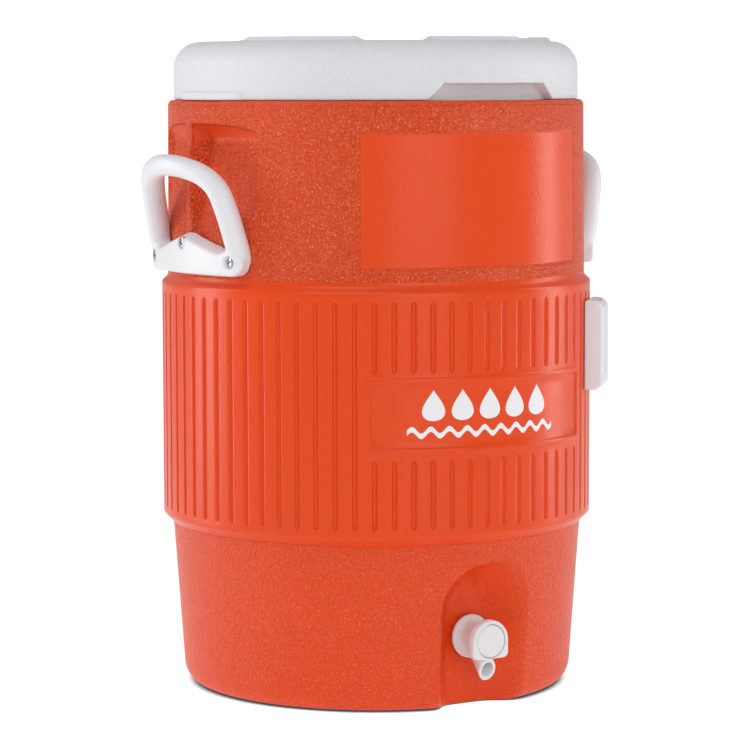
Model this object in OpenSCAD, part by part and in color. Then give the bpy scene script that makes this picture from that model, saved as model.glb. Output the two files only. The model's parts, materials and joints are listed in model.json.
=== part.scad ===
// Insulated beverage dispenser: a double-walled round body with a ribbed belt, a lift-off seat lid,
// two fixed handles, a cup-holder bracket and a push-button spigot.
// The origin is the centre of the base, +Z is up and the spigot faces -Y.
// An angle is counted from the front, positive towards +X.

/* [Body] */
// Height of the body to its rim
body_h = 447.7; // [440:0.1:460]
// Radius of the body just under the rim
top_r = 159.2; // [157:0.1:161]
// Radius of the body where it meets the belt's upper edge
shoulder_r = 160.2; // [159:0.1:162]
// Radius of the ribbed belt
belt_r = 164.9; // [164:0.1:168]
// Height of the belt's lower edge
belt_bottom = 131.9; // [128:0.1:136]
// Height of the belt's upper edge
belt_top = 310; // [305:1:315]
// Radius of the body just under the belt
waist_r = 157.5; // [156:0.1:159]
// Radius of the body just above the rounding of the base
base_r = 149.8; // [148:0.1:152]
// Height of the rounding round the base
base_round = 16; // [10:1:20]
// Thickness of the outer shell
shell_wall = 3; // [2.5:0.1:3.5]
// Radius of the rounding on the rim
rim_round = 4; // [2:0.5:5]
// Depth of the hollow under the base
base_hollow = 4; // [2:0.5:6]

/* [Belt] */
// Number of flutes round the belt
flutes = 72; // [36:1:90]
// Width of a flute
flute_w = 3.5; // [2:0.1:3.6]
// Height of the lower end of the flutes
flute_bottom = 137.5; // [135:0.5:140]
// Height of the upper end of the flutes
flute_top = 303; // [298:0.5:305]
// Half the angle that the plain panel at the front covers
panel_half = 35; // [30:1:37]
// Height of the lower edge of the panel's rim
panel_bottom = 192.8; // [190:0.1:196]
// Height of the upper edge of the panel's rim
panel_top = 248.2; // [244:0.1:252]
// Width of the panel's rim
panel_rim_w = 4.5; // [3:0.5:6]
// Height that the panel's rim stands proud of the belt
panel_rim_h = 0.8; // [0.5:0.1:1]

/* [Handle recess] */
// Half the angle that a handle recess covers
recess_half = 26; // [24:0.5:28]
// Height of the overhanging edge at the top of a handle recess
recess_top = 431; // [426:1:434]
// Height at which the floor of a handle recess reaches the body
recess_bottom = 340; // [338:1:345]
// Radius of the floor at the top of a handle recess
recess_floor_r = 145; // [143:0.5:150]
// Half the angle of the rib in the middle of a handle recess
rib_half = 3.5; // [3:0.5:5]

/* [Spigot recess] */
// Distance of the flat floor of the spigot recess from the axis
alcove_d = 128; // [127:0.5:130]
// Half the width of that floor
alcove_half = 23; // [20:0.5:25]
// Outward slope of the walls, in millimetres a millimetre
alcove_slope = 0.6; // [0.4:0.05:0.7]
// Height of the centre of the recess's arch
arch_z = 68.7; // [66:0.1:71]

/* [Liner] */
// Inner radius of the tank at its mouth
liner_top_r = 130; // [129:0.5:131]
// Inner radius of the tank above its rounded floor
liner_bottom_r = 119.6; // [118:0.1:121]
// Height of the tank's floor
liner_floor = 30; // [28:1:32]
// Thickness of the liner
liner_wall = 2.5; // [2:0.1:3]
// Radius of the liner's flange on the rim
flange_r = 147; // [145:0.5:149]
// Thickness of that flange
flange_t = 1.5; // [1:0.1:2]
// Radius of the flat boss for the spigot's nut
boss_r = 16; // [15:0.5:17]
// Distance of that boss's inner face from the axis
boss_d = 112; // [111:0.5:113]
// Radius of the spigot's hole through shell, foam and liner
spigot_hole_r = 10; // [9.7:0.1:10.5]

/* [Lid] */
// Radius of the lid
lid_r = 154.8; // [152:0.1:156]
// Height of the flat top of the lid
lid_top = 491.5; // [488:0.5:496]
// Radius of the rounding round the top of the lid
lid_round = 20; // [15:1:24]
// Thickness of the lid's skin
lid_wall = 2.5; // [2:0.1:3]
// Angle that the lid is turned from the front
lid_turn = 4; // [0:1:8]
// Gap between the lid and the body
lid_gap = 0.4; // [0.3:0.1:0.6]
// Depth of the plug that enters the tank
plug_depth = 20; // [15:1:24]
// Height of the raised pads on the seat
pad_h = 3; // [2:0.5:4]
// Inner radius of the raised pads
pad_in_r = 117; // [90:1:120]
// Outer radius of the raised pads
pad_out_r = 133.5; // [124:0.5:134]
// Half the width of the finger notch at its lower edge
notch_low_half = 57.7; // [54:0.1:60]
// Half the width of the finger notch at its upper edge
notch_high_half = 46; // [42:0.5:50]
// Height of the finger notch's upper edge
notch_top = 460; // [457:0.5:463]
// Distance of the finger notch's inner wall from the axis
notch_d = 138; // [136:0.5:141]

/* [Handles] */
// Radius of the outer face of a handle's plate
plate_r = 171; // [169:0.5:172]
// Half the angle that a handle's plate covers
plate_half = 24; // [23:0.1:26]
// Height of the lower edge of a handle's plate
plate_bottom = 320; // [319:0.5:322]
// Height of the peak of a handle's plate
plate_peak = 349.5; // [346:0.5:351]
// Radius of the handle's round bar
bar_r = 9; // [8:0.5:9.5]
// Distance of the middle of the grip from the axis
grip_x = 178.5; // [176:0.5:182]
// Height of the middle of the grip
grip_z = 399; // [395:1:402]
// Radius of the screws' shanks
screw_r = 1.9; // [1.8:0.1:2.5]
// Radius of the screws' heads
screw_head_r = 4.75; // [4:0.05:5]

/* [Bracket] */
// Angle of the cup-holder bracket from the front
bracket_turn = 47; // [44:1:50]
// Width of the bracket
bracket_w = 36; // [34:1:38]
// Height of the bracket's lower end
bracket_bottom = 228; // [226:0.5:230]
// Height of the bracket's upper end
bracket_top = 296.5; // [292:0.5:298]
// Distance that the bracket stands proud of the belt
bracket_proud = 13.5; // [13.5:0.5:15]
// Width of the slot inside the bracket
slot_w = 22; // [20:1:24]
// Depth of the slot inside the bracket
slot_t = 6.5; // [6:0.5:7]
// Width of the slot's open front
slot_mouth_w = 8; // [6:1:14]

/* [Spigot] */
// Height of the spigot's axis
spigot_z = 50.7; // [50:0.1:52]
// Radius of the spigot's flange
spigot_flange_r = 16.4; // [15:0.1:16.8]
// Radius of the threaded barrel
barrel_r = 9.5; // [9:0.1:9.6]
// Distance of the front of the spigot's head from the axis
head_front = 159.5; // [159:0.5:161]
// Distance of the back of the spigot's head from the axis
head_back = 151.5; // [150.5:0.1:151.9]
// Half the width of the head, whose upper part is round
head_r = 15.6; // [14:0.1:18]
// Radius of the corners of the head's foot
head_corner = 4.5; // [2:0.5:6]
// Height of the head's flat underside
head_under = 37.3; // [37:0.1:39]
// Radius of the push button
button_r = 11.6; // [11:0.1:11.8]
// Travel of the push button
button_travel = 4.5; // [3:0.5:4.5]
// Radius of the valve stem
stem_r = 2; // [1.8:0.1:2.2]
// Outer radius of the spout
spout_r = 7.2; // [6:0.1:7.4]
// Inner radius of the spout
spout_bore_r = 4.85; // [4:0.05:5.2]
// Angle of the spout below the horizontal
spout_tilt = 47.5; // [45:0.5:50]
// Angle by which the spout's mouth faces below the horizontal
mouth_tilt = 15; // [10:1:20]

/* [Hidden] */
$fn = 96;
far = 200;
fit_gap = 0.05;
round_steps = 5;

// Points on a quarter round: from one axis of the ellipse to the other, about its centre.
function quarter(centre, rx, rz, from, to) = [for (i = [0 : round_steps])
    let (a = from + (to - from) * i / round_steps) centre + [rx * cos(a), rz * sin(a)]];
function inward(points, t) = [for (p = points) p - [t, 0]];

// Outline of the body's side, from the base to the rim.
base_foot_r = base_r - 12.3;
side = concat(
    quarter([base_foot_r, base_round], base_r - base_foot_r, base_round, -90, 0),
    [[waist_r, belt_bottom - belt_r + waist_r], [belt_r, belt_bottom], [belt_r, belt_top],
     [shoulder_r + 1, belt_top + 3], [shoulder_r, belt_top + 7]],
    quarter([top_r - rim_round, body_h - rim_round], rim_round, rim_round, 0, 90));
hollow_r = base_foot_r - 18;
rim_hole_r = liner_top_r + liner_wall + 0.4;

// Lid heights.
lid_bottom = body_h + lid_gap;
deck = body_h + flange_t + 0.3;
plug_bottom = deck - plug_depth;
plug_r = liner_top_r - 0.8;
lid_pads = [[0, 18], [62, 20.7], [-62, 20.7], [180, 19]];

// Screw places on a handle: angle from the handle's middle, height.
handle_screws = [[0, 342.6], [-20, 330], [20, 330]];
head_sink = 2.2;
bracket_screw_z = [250, 276];

// Places along the spigot's axis, as distances from the dispenser's axis.
gasket_t = 2;
flange_back = alcove_d + gasket_t;
flange_front = flange_back + 3;
barrel_end = 98;
nut_back = 102;
seat_back = 114;
seat_front = 116;
guide_back = 141;
guide_front = 146.8;
neck_back = 146;
neck_r = 13.5;
button_floor = 152.5;
button_back = button_floor + button_travel + 0.3;
button_front = button_back + 2;
stem_front = button_back + 1.2;
spout_root = 133.6;
mouth_d = 154;
mouth_z = spigot_z - (mouth_d - spout_root) * tan(spout_tilt);
seal_front = seat_back - 0.3;
seal_back = 106;
stem_back = 104;

// A cylinder along the spigot's axis between two distances from the dispenser's axis.
module along_spigot(from, to, r1, r2) {
    translate([0, -from, spigot_z]) rotate([90, 0, 0])
        cylinder(h = to - from, r1 = r1, r2 = is_undef(r2) ? r1 : r2);
}

// A ring sector about +X, swept from an outline in radius and height.
module sector(half, points) {
    rotate([0, 0, -half]) rotate_extrude(angle = 2 * half) polygon(points);
}

// Hollow behind a handle, with a rib left standing in its middle. With grow it takes in the wall behind
// and the whole rib, because the rib is solid.
module handle_recess(grow) {
    turn = grow / top_r * 57.3;
    outline = [[recess_floor_r - grow, recess_top + grow], [far, recess_top + grow],
        [far, recess_bottom - grow], [shoulder_r - grow, recess_bottom - grow],
        [recess_floor_r - grow, recess_top - 30 - grow]];
    difference() {
        sector(recess_half + turn, outline);
        if (grow == 0) sector(rib_half, [[100, 300], [far + 5, 300], [far + 5, 440], [100, 440]]);
    }
}

// Arched hollow that the spigot stands in, open downwards.
module spigot_recess(grow) {
    floor_d = alcove_d - grow;
    half = alcove_half - alcove_slope * grow + grow * sqrt(1 + alcove_slope * alcove_slope);
    reach = far - floor_d;
    wide = half + alcove_slope * reach;
    translate([0, -floor_d, arch_z]) rotate([90, 0, 0]) cylinder(h = reach, r1 = half, r2 = wide);
    translate([0, 0, -1]) linear_extrude(arch_z + 1)
        polygon([[-half, -floor_d], [-wide, -far], [wide, -far], [half, -floor_d]]);
}

module recesses(grow) {
    handle_recess(grow);
    rotate([0, 0, 180]) handle_recess(grow);
    spigot_recess(grow);
}

// Round-bottomed flutes, broken off above and below the front panel.
module belt_flutes() {
    for (i = [0 : flutes - 1]) {
        a = 360 / flutes * (i + 0.5);
        from_front = min(a, 360 - a);
        spans = from_front < panel_half
            ? [[flute_bottom, panel_bottom - 4.7], [panel_top + 3.5, flute_top]]
            : [[flute_bottom, flute_top]];
        for (s = spans)
            rotate([0, 0, a]) translate([0, -belt_r, s[0]])
                cylinder(h = s[1] - s[0], r = flute_w / 2, $fn = 24);
    }
}

module panel_rim() {
    rotate([0, 0, -90]) difference() {
        sector(panel_half, [[belt_r - 1, panel_bottom], [belt_r + panel_rim_h, panel_bottom],
            [belt_r + panel_rim_h, panel_top], [belt_r - 1, panel_top]]);
        sector(panel_half - panel_rim_w / belt_r * 57.3,
            [[belt_r - 2, panel_bottom + panel_rim_w], [far, panel_bottom + panel_rim_w],
             [far, panel_top - panel_rim_w], [belt_r - 2, panel_top - panel_rim_w]]);
    }
}

// Shanks of a handle's screws, for the screws and for the holes that they cut.
module handle_shanks(r, from, to) {
    for (s = handle_screws)
        translate([0, 0, s[1]]) rotate([0, 90, s[0]]) translate([0, 0, from])
            cylinder(h = to - from, r = r, $fn = 32);
}

module bracket_shanks(r, from, to) {
    for (z = bracket_screw_z)
        rotate([0, 0, bracket_turn]) translate([0, -from, z]) rotate([90, 0, 0])
            cylinder(h = to - from, r = r, $fn = 32);
}

module all_shanks() {
    handle_shanks(screw_r, 147, far);
    rotate([0, 0, 180]) handle_shanks(screw_r, 147, far);
    bracket_shanks(screw_r, 147, far);
    along_spigot(90, far, spigot_hole_r);
    translate([0, 0, -1]) cylinder(h = 12, r = 12);
}

// Space inside the shell's walls.
module shell_void() {
    difference() {
        rotate_extrude() polygon(concat(
            [[0, base_hollow + shell_wall], [hollow_r, base_hollow + shell_wall],
             [hollow_r + 3, shell_wall], [base_foot_r, shell_wall]],
            [for (p = inward(side, shell_wall)) if (p[1] > shell_wall && p[1] < body_h - shell_wall) p],
            [[top_r - shell_wall - 1, body_h - shell_wall], [0, body_h - shell_wall]]));
        recesses(shell_wall);
    }
}

module liner_outside() {
    rotate_extrude() polygon([[0, liner_floor - liner_wall], [110, liner_floor - liner_wall],
        [liner_bottom_r + liner_wall, liner_floor + 8],
        [liner_top_r + liner_wall, body_h], [0, body_h]]);
    along_spigot(boss_d, boss_d + 9, boss_r);
}

module outer_shell() {
    color("orangered") difference() {
        union() {
            rotate_extrude() polygon(concat([[0, base_hollow], [hollow_r, base_hollow],
                [hollow_r + 3, 0]], side, [[0, body_h]]));
            panel_rim();
        }
        recesses(0);
        belt_flutes();
        shell_void();
        translate([0, 0, body_h - 10]) cylinder(h = 20, r = rim_hole_r);
        all_shanks();
    }
}

module body_foam() {
    color("khaki") difference() {
        shell_void();
        liner_outside();
        all_shanks();
        foam_fill_plug();
    }
}

module inner_liner() {
    color("white") difference() {
        union() {
            liner_outside();
            translate([0, 0, body_h]) cylinder(h = flange_t, r = flange_r);
        }
        difference() {
            rotate_extrude() polygon([[0, liner_floor], [110, liner_floor],
                [liner_bottom_r, liner_floor + 10], [liner_top_r, body_h],
                [liner_top_r, body_h + 5], [0, body_h + 5]]);
            along_spigot(boss_d, boss_d + 20, boss_r);
        }
        along_spigot(90, far, spigot_hole_r);
    }
}

// Stopper of the hole through which the foam was poured: a disc that a wider lip holds from inside.
module foam_fill_plug() {
    color("black") union() {
        translate([0, 0, base_hollow + 0.4]) cylinder(h = shell_wall, r = 12 - fit_gap);
        translate([0, 0, base_hollow + shell_wall]) cylinder(h = 1.5, r = 14);
    }
}

function unit(v) = v / norm(v);
function spline_point(p, i, t) = 0.5 * (2 * p[i] + (p[i + 1] - p[i - 1]) * t
    + (2 * p[i - 1] - 5 * p[i] + 4 * p[i + 1] - p[i + 2]) * t * t
    + (3 * p[i] - p[i - 1] - 3 * p[i + 1] + p[i + 2]) * t * t * t);
function spline(p, steps) = concat(
    [for (i = [1 : len(p) - 3], s = [0 : steps - 1]) spline_point(p, i, s / steps)],
    [p[len(p) - 2]]);

// A round bar swept along points; across is a direction that the path never runs along.
module bar(path, r, sides, across) {
    last = len(path) - 1;
    rings = [for (i = [0 : last])
        let (t = unit(path[min(i + 1, last)] - path[max(i - 1, 0)]), n = unit(cross(t, across)),
             b = cross(t, n))
        for (k = [0 : sides - 1]) path[i] + r * (cos(360 * k / sides) * n + sin(360 * k / sides) * b)];
    walls = [for (i = [0 : last - 1], k = [0 : sides - 1])
        let (a = i * sides + k, b = i * sides + (k + 1) % sides)
        each [[a, a + sides, b], [b, a + sides, b + sides]]];
    polyhedron(rings, concat(walls, [[for (k = [0 : sides - 1]) k],
        [for (k = [sides - 1 : -1 : 0]) last * sides + k]]));
}

// Half of the handle's centre line, from its foot in the plate to the middle of the grip.
half_bar = [[146, -58, 314], [150, -58.5, 324], [153.8, -58.8, 334], [157, -58, 346], [161, -55, 369],
    [164.5, -50.5, 383], [170, -38, 392.8], [176, -18, grip_z - 1.2], [grip_x, 0, grip_z]];
handle_bar = concat(half_bar, [for (i = [len(half_bar) - 2 : -1 : 0])
    [half_bar[i][0], -half_bar[i][1], half_bar[i][2]]]);

// Handle about +X: a curved plate on the body, with one bent bar rising from its ends.
module handle() {
    difference() {
        union() {
            intersection() {
                sector(plate_half, [[shoulder_r + 0.1, plate_bottom], [plate_r, plate_bottom],
                    [plate_r, 360], [shoulder_r + 0.1, 360]]);
                rotate([90, 0, 90]) linear_extrude(far) polygon([[-80, plate_bottom],
                    [80, plate_bottom], [76, 342], [66, 350], [52, 350], [47, 338],
                    [5, plate_peak], [-5, plate_peak], [-47, 338], [-52, 350], [-66, 350], [-76, 342]]);
            }
            bar(spline(handle_bar, 3), bar_r, 14, [1, 0, 0]);
        }
        translate([0, 0, 300]) cylinder(h = 62, r = shoulder_r + 0.1);
        handle_shanks(screw_r + 0.3, 150, far);
        handle_shanks(screw_head_r + 0.25, plate_r - head_sink, far);
    }
}

// Three pan-head screws with a cross recess, in one handle's plate.
module handle_screw_set() {
    difference() {
        union() {
            handle_shanks(screw_r, 148, plate_r - 1);
            handle_shanks(screw_head_r, plate_r - head_sink, plate_r + 0.2);
        }
        for (s = handle_screws)
            translate([0, 0, s[1]]) rotate([0, 90, s[0]]) translate([0, 0, plate_r])
                for (turn = [45, 135])
                    rotate([0, 0, turn]) cube([5, 1.1, 2.4], center = true);
    }
}

module handle_right() { color("white") handle(); }
module handle_left() { color("white") rotate([0, 0, 180]) handle(); }
module handle_screws_right() { color("silver") handle_screw_set(); }
module handle_screws_left() { color("silver") rotate([0, 0, 180]) handle_screw_set(); }

// Block on the belt with a slot that is open upwards and, more narrowly, forwards.
slot_back = belt_r + 2.6;
slot_floor = bracket_bottom + 12;
module cup_bracket() {
    front = belt_r + bracket_proud;
    color("white") difference() {
        rotate([0, 0, bracket_turn]) difference() {
            translate([bracket_w / 2, 0, 0]) rotate([0, -90, 0]) linear_extrude(bracket_w)
                polygon([[bracket_bottom, 10 - belt_r], [bracket_bottom, 4 - front],
                    [bracket_bottom + 4, -front], [bracket_top - 5, -front],
                    [bracket_top, 5 - front], [bracket_top, -belt_r - 4],
                    [bracket_top - 4, 10 - belt_r]]);
            translate([-slot_w / 2, -slot_back - slot_t, slot_floor]) cube([slot_w, slot_t, 80]);
            translate([-slot_mouth_w / 2, -front - 5, slot_floor]) cube([slot_mouth_w, 15, 80]);
        }
        translate([0, 0, bracket_bottom - 10]) cylinder(h = 100, r = belt_r + 0.1);
        bracket_shanks(screw_r + 0.2, 150, slot_back + 1);
        bracket_shanks(screw_head_r - 0.5, slot_back - 1.4, slot_back + 1);
    }
}

module bracket_screws() {
    color("silver") union() {
        bracket_shanks(screw_r, 148, slot_back - 1);
        bracket_shanks(screw_head_r - 0.75, slot_back - 1.4, slot_back - 0.1);
    }
}

// Finger notch in the front of the lid's skirt; grow thickens it for the wall behind.
module finger_notch(grow) {
    slope = (notch_low_half - notch_high_half) / (notch_top - lid_bottom);
    drop = 10;
    rotate([90, 0, 0]) translate([0, 0, notch_d - grow]) linear_extrude(far)
        polygon([[-notch_low_half - slope * drop - grow, lid_bottom - drop],
            [notch_low_half + slope * drop + grow, lid_bottom - drop],
            [notch_high_half + grow, notch_top + grow], [-notch_high_half - grow, notch_top + grow]]);
}

module lid_void() {
    difference() {
        rotate_extrude() polygon(concat([[0, lid_bottom - 1], [lid_r - lid_wall, lid_bottom - 1]],
            quarter([lid_r - lid_round, lid_top - lid_round], lid_round - lid_wall,
                lid_round - lid_wall, 0, 90), [[0, lid_top - lid_wall]]));
        finger_notch(lid_wall);
    }
}

module lid_shell() {
    color("white") rotate([0, 0, lid_turn]) difference() {
        union() {
            rotate_extrude() polygon(concat([[0, lid_bottom], [lid_r, lid_bottom]],
                quarter([lid_r - lid_round, lid_top - lid_round], lid_round, lid_round, 0, 90),
                [[0, lid_top]]));
            for (p = lid_pads)
                rotate([0, 0, p[0] - 90]) sector(p[1], [[pad_in_r, lid_top - 1],
                    [pad_out_r, lid_top - 1], [pad_out_r - 1, lid_top + pad_h],
                    [pad_in_r + 1, lid_top + pad_h]]);
            for (side_turn = [0, 180])
                rotate([0, 0, side_turn]) sector(15, [[lid_r - 1, lid_bottom + 0.4],
                    [lid_r + 1.8, lid_bottom + 0.4], [lid_r + 1.8, 453], [lid_r - 1, 454]]);
        }
        finger_notch(0);
        lid_void();
        translate([0, 0, lid_bottom - 5]) cylinder(h = deck - lid_bottom + 5, r = flange_r + 0.6);
    }
}

module lid_underside() {
    plate_t = 2.5;
    color("white") rotate([0, 0, lid_turn]) difference() {
        rotate_extrude() polygon([[0, plug_bottom], [plug_r - 3, plug_bottom],
            [plug_r, plug_bottom + 3], [plug_r, plug_bottom + 6], [plug_r - 2, plug_bottom + 6],
            [plug_r - 2, plug_bottom + 10], [plug_r, plug_bottom + 10], [plug_r, deck],
            [lid_r - lid_wall, deck], [lid_r - lid_wall, deck + plate_t],
            [plug_r - 3, deck + plate_t], [plug_r - 5, plug_bottom + plate_t],
            [0, plug_bottom + plate_t]]);
        finger_notch(lid_wall);
    }
}

module lid_foam() {
    color("khaki") rotate([0, 0, lid_turn]) difference() {
        rotate_extrude() polygon(concat([[0, plug_bottom + 2.5], [plug_r - 5, plug_bottom + 2.5],
            [plug_r - 3, deck + 2.5], [lid_r - lid_wall, deck + 2.5]],
            quarter([lid_r - lid_round, lid_top - lid_round], lid_round - lid_wall,
                lid_round - lid_wall, 0, 90), [[0, lid_top - lid_wall]]));
        finger_notch(lid_wall);
    }
}

// Soft ring in the groove round the plug.
module lid_gasket() {
    color("gainsboro") rotate_extrude() polygon([[plug_r - 2, plug_bottom + 6],
        [plug_r + 0.1, plug_bottom + 7], [plug_r + 0.1, plug_bottom + 9], [plug_r - 2, plug_bottom + 10]]);
}

module spout(r, from, to) {
    translate([0, -spout_root, spigot_z]) rotate([90 + spout_tilt, 0, 0])
        translate([0, 0, from]) cylinder(h = to - from, r = r);
}

module spigot_body() {
    color("white") difference() {
        union() {
            along_spigot(barrel_end, head_back + 0.5, barrel_r);
            along_spigot(flange_back, flange_front, spigot_flange_r);
            along_spigot(neck_back, head_back + 0.5, barrel_r, neck_r);
            translate([0, -head_back, spigot_z]) rotate([90, 0, 0])
                linear_extrude(head_front - head_back) hull() {
                    circle(r = head_r);
                    for (side = [-1, 1])
                        translate([side * (head_r - head_corner), head_under - spigot_z + head_corner])
                            circle(r = head_corner);
                }
            difference() {
                spout(spout_r, 0, 60);
                translate([0, -mouth_d, mouth_z]) rotate([mouth_tilt, 0, 0])
                    translate([-20, -40, -40]) cube([40, 40, 80]);
            }
        }
        along_spigot(barrel_end - 1, seat_back, 6.5);
        along_spigot(seat_back - 1, seat_front + 1, 4.2);
        along_spigot(seat_front, guide_back, 5.5);
        along_spigot(guide_back - 1, guide_front + 1, stem_r + fit_gap);
        along_spigot(guide_front, button_floor + 1, 5.2);
        along_spigot(button_floor, far, button_r + 0.3);
        spout(spout_bore_r, 0, 60);
    }
}

module ring_on_spigot(from, to, r_out, r_in) {
    difference() {
        along_spigot(from, to, r_out);
        along_spigot(from - 1, to + 1, r_in);
    }
}

module spigot_flange_gasket() { color("dimgray") ring_on_spigot(alcove_d, flange_back, 14, barrel_r + 0.1); }
module spigot_inner_gasket() { color("dimgray") ring_on_spigot(boss_d - gasket_t, boss_d, 14, barrel_r + 0.1); }

// Hexagon nut with a round washer face.
module spigot_nut() {
    color("white") difference() {
        union() {
            translate([0, -nut_back, spigot_z]) rotate([90, 0, 0]) rotate([0, 0, 0])
                cylinder(h = 5, r = 15, $fn = 6);
            along_spigot(nut_back + 5, boss_d - gasket_t, 14);
        }
        along_spigot(nut_back - 1, boss_d, barrel_r + fit_gap);
    }
}

module spigot_button() {
    color("white") difference() {
        along_spigot(button_back, button_front, button_r);
        along_spigot(button_back - 1, stem_front, stem_r);
    }
}

// Stem that carries the seal at its inner end and the button at its outer end.
module spigot_stem() {
    color("gainsboro") union() {
        along_spigot(stem_back, stem_front, stem_r);
        along_spigot(stem_back, seal_back, 3.2);
    }
}

module spigot_valve_seal() {
    color("dimgray") difference() {
        union() {
            along_spigot(seal_back, seal_back + 4, 6);
            along_spigot(seal_back + 4, seal_front, 6, 4.9);
        }
        along_spigot(seal_back - 1, seal_front + 1, stem_r);
    }
}

// Return spring between the stem's guide and the button.
module spigot_spring() {
    wire_r = 0.4;
    turns = 5;
    length = button_back - guide_front - 2 * wire_r - 0.2;
    steps = 12;
    coil = [for (i = [0 : turns * steps]) [4 * cos(360 * i / steps), 4 * sin(360 * i / steps),
        length * i / (turns * steps)]];
    color("silver") translate([0, -guide_front - wire_r - 0.1, spigot_z]) rotate([90, 0, 0])
        bar(coil, wire_r, 8, [0, 0, 1]);
}

outer_shell();
body_foam();
inner_liner();
foam_fill_plug();
handle_left();
handle_right();
handle_screws_left();
handle_screws_right();
cup_bracket();
bracket_screws();
lid_shell();
lid_foam();
lid_underside();
lid_gasket();
spigot_body();
spigot_flange_gasket();
spigot_inner_gasket();
spigot_nut();
spigot_button();
spigot_stem();
spigot_spring();
spigot_valve_seal();
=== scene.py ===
import json
import math

import bmesh
import bpy
import numpy as np
from mathutils import Matrix

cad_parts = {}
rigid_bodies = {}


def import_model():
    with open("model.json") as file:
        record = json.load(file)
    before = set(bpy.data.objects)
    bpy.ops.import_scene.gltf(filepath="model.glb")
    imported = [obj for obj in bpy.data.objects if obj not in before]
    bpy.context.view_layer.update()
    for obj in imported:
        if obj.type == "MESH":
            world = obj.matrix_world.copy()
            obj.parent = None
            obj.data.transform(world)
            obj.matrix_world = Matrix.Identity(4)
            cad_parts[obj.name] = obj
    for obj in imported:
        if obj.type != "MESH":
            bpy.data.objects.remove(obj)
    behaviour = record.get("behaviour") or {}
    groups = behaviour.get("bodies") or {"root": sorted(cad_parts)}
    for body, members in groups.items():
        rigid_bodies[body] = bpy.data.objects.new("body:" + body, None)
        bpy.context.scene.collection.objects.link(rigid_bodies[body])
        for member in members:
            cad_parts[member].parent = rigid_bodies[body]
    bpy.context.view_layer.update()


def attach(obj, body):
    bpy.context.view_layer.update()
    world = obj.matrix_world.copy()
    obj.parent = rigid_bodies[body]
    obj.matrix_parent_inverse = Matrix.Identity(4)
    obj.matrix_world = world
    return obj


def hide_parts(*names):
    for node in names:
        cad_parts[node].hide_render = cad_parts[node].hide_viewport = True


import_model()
MM = 0.001

# ---------------------------------------------------------------- camera and studio
# A long lens a little below lid height and to the left of the spigot, in a white studio:
# a white floor with a painted contact shadow where the base closes it in, one tall soft box behind each side, a
# broad one above and a wide one in front.

camera_azimuth = -32.0
camera_distance = 2.357
camera_height = 0.466
camera_pitch = 5.6
camera_roll = -0.13
axis_off_centre = 0.0004254
focal_length, sensor_width = 146.688, 36.0
camera_data = bpy.data.cameras.new("camera")
camera_data.sensor_width = sensor_width
camera_data.lens = focal_length
camera_data.clip_end = 60
camera = bpy.data.objects.new("camera", camera_data)
bpy.context.scene.collection.objects.link(camera)
bpy.context.scene.camera = camera
azimuth = math.radians(camera_azimuth)
camera.matrix_world = (
    Matrix.Translation(
        (camera_distance * math.sin(azimuth), -camera_distance * math.cos(azimuth), camera_height))
    @ Matrix.Rotation(azimuth + axis_off_centre, 4, "Z")
    @ Matrix.Rotation(math.radians(90 - camera_pitch), 4, "X")
    @ Matrix.Rotation(math.radians(camera_roll), 4, "Z")
)

world = bpy.data.worlds.new("studio")
bpy.context.scene.world = world
world.use_nodes = True
tree = world.node_tree
seen = tree.nodes["Background"]
seen.inputs["Color"].default_value = (1, 1, 1, 1)
seen.inputs["Strength"].default_value = 1.1
filling = tree.nodes.new("ShaderNodeBackground")
filling.inputs["Color"].default_value = (0.93, 0.96, 1.0, 1)
filling.inputs["Strength"].default_value = 0.40
rays = tree.nodes.new("ShaderNodeLightPath")
either = tree.nodes.new("ShaderNodeMixShader")
tree.links.new(rays.outputs["Is Camera Ray"], either.inputs["Fac"])
tree.links.new(filling.outputs[0], either.inputs[1])
tree.links.new(seen.outputs[0], either.inputs[2])
tree.links.new(either.outputs[0], tree.nodes["World Output"].inputs["Surface"])


def soft_box(name, side, height, distance, width, tall, watts, aim=0.25):
    """An area light at an angle from the front and a height, turned to the body's axis at the height aim."""
    data = bpy.data.lights.new(name, "AREA")
    data.shape = "RECTANGLE"
    data.size = width
    data.size_y = tall
    data.energy = watts
    lamp = bpy.data.objects.new(name, data)
    bpy.context.scene.collection.objects.link(lamp)
    turn = math.radians(side)
    lamp.location = (distance * math.sin(turn), -distance * math.cos(turn), height)
    down = math.atan2(height - aim, distance)
    lamp.rotation_euler = (math.pi / 2 - down, 0, turn)
    return lamp


soft_box("left_box", camera_azimuth - 96, 0.55, 1.5, 0.6, 1.5, 9.6)
soft_box("right_box", camera_azimuth + 104, 0.5, 1.5, 0.36, 1.5, 7.2)
soft_box("top_box", camera_azimuth - 20, 1.9, 1.2, 1.4, 1.2, 9.8)
soft_box("front_box", camera_azimuth + 25, 0.9, 2.6, 1.6, 1.4, 12.0)
bpy.context.scene.view_settings.view_transform = "Standard"
bpy.context.scene.view_settings.look = "None"


def add_node(tree, kind, inputs=(), operation=None):
    """A shader node; its inputs are a dictionary of sockets to link or plain values."""
    made = tree.nodes.new("ShaderNode" + kind)
    if operation:
        made.operation = operation
    for key, value in dict(inputs).items():
        if isinstance(value, bpy.types.NodeSocket):
            tree.links.new(value, made.inputs[key])
        else:
            made.inputs[key].default_value = value
    return made


def new_material(name):
    """A material with its node tree and its Principled node."""
    material = bpy.data.materials.new(name)
    material.use_nodes = True
    return material, material.node_tree, material.node_tree.nodes["Principled BSDF"]


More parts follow.
